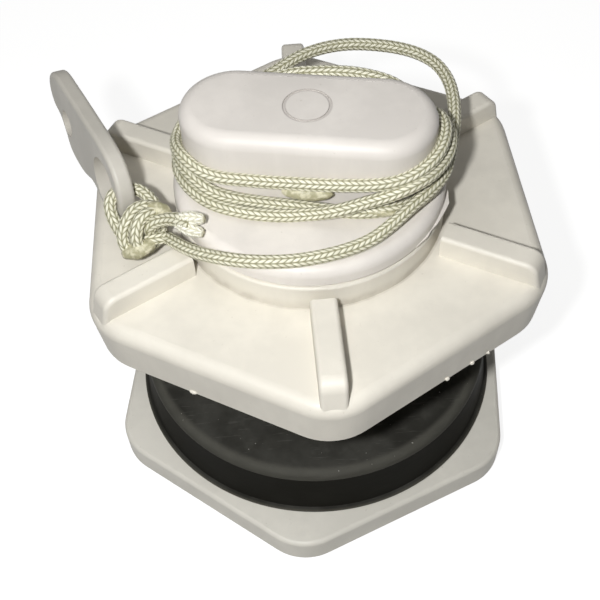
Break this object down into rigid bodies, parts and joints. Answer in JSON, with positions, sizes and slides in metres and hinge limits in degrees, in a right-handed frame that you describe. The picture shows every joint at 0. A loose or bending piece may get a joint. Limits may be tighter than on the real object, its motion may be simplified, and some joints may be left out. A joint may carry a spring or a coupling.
{
  "type": "boat drain plug with through-hull fitting",
  "caption": "Screw-in drain plug with an oblong grip in a ribbed hexagonal through-hull body, with a clamp nut, rubber gaskets, and a braided cord wound round the grip and tied to a tag.",
  "frame": {"origin": "on the screw axis, at the underside of the clamp nut", "axes": "+Z along the screw axis, from the nut up to the plug's grip; one corner of the flange points to -Y"},
  "size_m": [0.0918, 0.0908, 0.0811],
  "materials": {
    "body_plastic": "warm off-white moulded plastic, satin, with faint flow marks and grime in the corners",
    "nut_plastic": "warm off-white moulded plastic, satin, a little greyer",
    "plug_plastic": "warm off-white moulded plastic, satin, slightly pink",
    "tag_plastic": "warm off-white moulded plastic, satin",
    "gasket_rubber": "black moulded rubber, matt, with a dusty bloom",
    "seal_rubber": "black rubber",
    "cord_braid": "braided synthetic cord, cream strands with olive shadows between them"
  },
  "bodies": {
    "hull_body": {"through_hull_body": "body_plastic", "lanyard_tag": "tag_plastic", "cord_knot": "cord_braid", "cord_span": "cord_braid", "cord_tail": "cord_braid"},
    "gaskets": {"lower_gasket": "gasket_rubber", "upper_gasket": "gasket_rubber"},
    "nut": {"clamp_nut": "nut_plastic"},
    "seal": {"plug_seal": "seal_rubber"},
    "plug": {"drain_plug": "plug_plastic", "cord_wraps": "cord_braid"}
  },
  "joints": [
    {"name": "gasket_slide", "type": "slide", "parent": "hull_body", "child": "gaskets", "axis": [0, 0, 1], "range_m": [0, 0.02601]},
    {"name": "nut_turn", "type": "hinge", "parent": "gaskets", "child": "nut", "pos_m": [0, 0, 0.0035], "axis": [0, 0, 1], "range_deg": [0, 2340]},
    {"name": "plug_lift", "type": "slide", "parent": "hull_body", "child": "seal", "axis": [0, 0, 1], "range_m": [0, 0.01601], "deforming": ["cord_span", "cord_tail"]},
    {"name": "plug_turn", "type": "hinge", "parent": "seal", "child": "plug", "pos_m": [0, 0, 0.0652], "axis": [0, 0, 1], "range_deg": [0, 1440]}
  ],
  "couplings": [
    {"joint": "gasket_slide", "follows": "nut_turn", "m_per_rad": 0.00063662},
    {"joint": "plug_lift", "follows": "plug_turn", "m_per_rad": 0.00063662}
  ]
}
